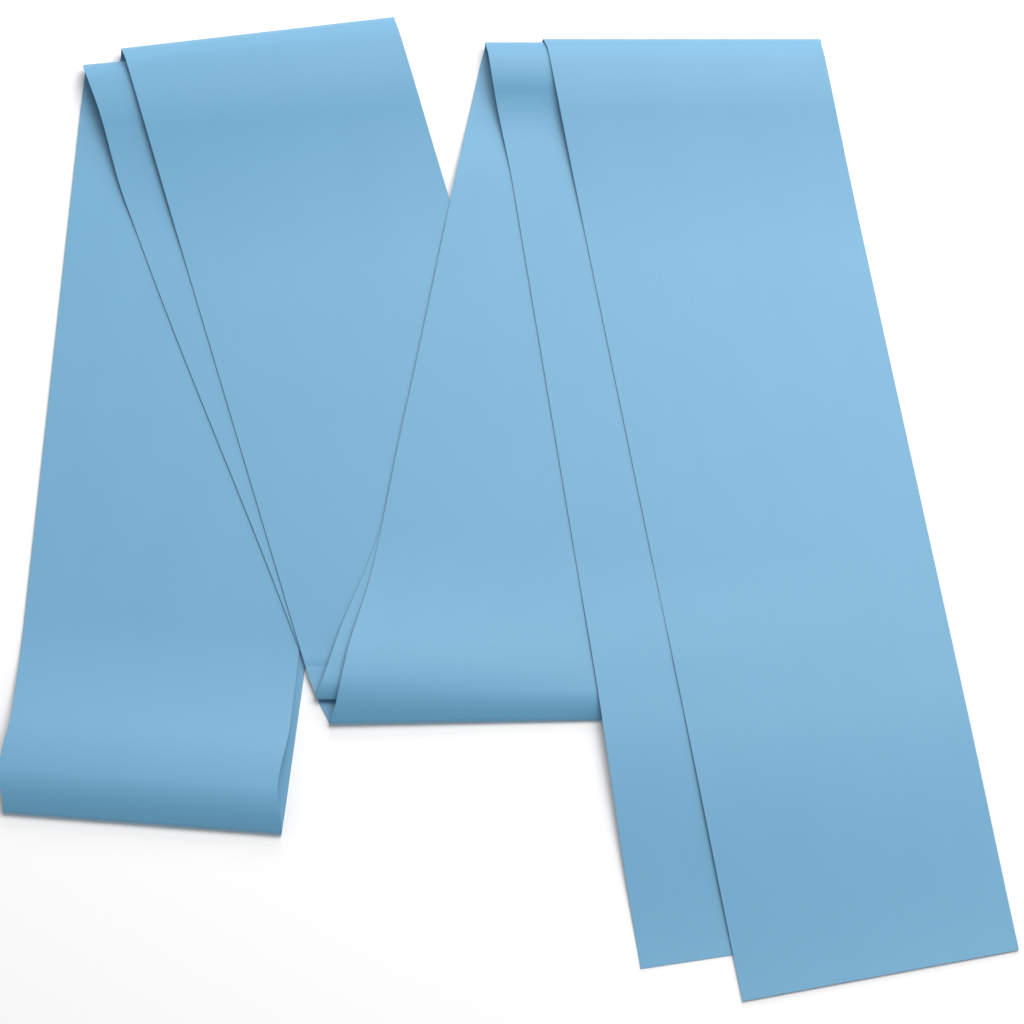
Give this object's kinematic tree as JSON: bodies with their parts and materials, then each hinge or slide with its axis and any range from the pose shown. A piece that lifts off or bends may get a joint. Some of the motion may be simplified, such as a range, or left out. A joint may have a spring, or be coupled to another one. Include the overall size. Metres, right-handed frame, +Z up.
{
  "type": "stretching strap",
  "caption": "Flat elastic rubber band for stretching exercises, folded in half and laid in a zigzag so that both ends lie free.",
  "frame": {"origin": "middle of the strap's footprint, on the table it lies on", "axes": "+Z up, +X right and +Y away from a user who stands at the side with the free ends"},
  "size_m": [0.4544, 0.4614, 0.0134],
  "materials": {
    "rubber": "light blue natural rubber sheet, matt satin with a fine dusting"
  },
  "bodies": {
    "first_leg": {"first_leg_lower": "rubber", "first_leg_upper": "rubber", "top_left_outer_fold_bottom": "rubber", "top_left_inner_fold_bottom": "rubber"},
    "middle_loop": {"loop_strip_lower": "rubber", "loop_strip_upper": "rubber", "middle_loop_bottom": "rubber", "middle_loop_top": "rubber"},
    "inner_legs": {"top_left_outer_fold_top": "rubber", "top_left_inner_fold_top": "rubber", "second_leg_lower": "rubber", "second_leg_upper": "rubber", "bottom_outer_fold_bottom": "rubber", "bottom_outer_fold_top": "rubber", "bottom_inner_fold_bottom": "rubber", "bottom_inner_fold_top": "rubber", "third_leg_lower": "rubber", "third_leg_upper": "rubber", "top_right_outer_fold_bottom": "rubber", "top_right_inner_fold_bottom": "rubber"},
    "tails": {"top_right_outer_fold_top": "rubber", "top_right_inner_fold_top": "rubber", "lower_tail": "rubber", "upper_tail": "rubber"},
    "tail_ends": {"lower_tail_end": "rubber", "upper_tail_near_end": "rubber"},
    "upper_tail_end": {"upper_tail_end": "rubber"}
  },
  "joints": [
    {"name": "top_left_fold", "type": "hinge", "parent": "first_leg", "child": "inner_legs", "pos_m": [-0.1161, 0.2237, 0.007], "axis": [-0.9925, -0.1219, 0], "range_deg": [0, 180]},
    {"name": "top_right_fold", "type": "hinge", "parent": "inner_legs", "child": "tails", "pos_m": [0.0811, 0.2207, 0.0066], "axis": [-1, 0, 0], "range_deg": [0, 180]},
    {"name": "tail_bend", "type": "hinge", "parent": "tails", "child": "tail_ends", "pos_m": [0.1065, -0.1283, 0.0074], "axis": [-0.9863, -0.165, 0], "range_deg": [0, 60]},
    {"name": "upper_tail_bend", "type": "hinge", "parent": "tail_ends", "child": "upper_tail_end", "pos_m": [0.1505, -0.1723, 0.0036], "axis": [-0.9829, -0.184, 0], "range_deg": [0, 60]},
    {"name": "loop_bend", "type": "hinge", "parent": "first_leg", "child": "middle_loop", "pos_m": [-0.1575, -0.0793, 0.0029], "axis": [-0.9969, 0.0785, 0], "range_deg": [0, 45]}
  ]
}
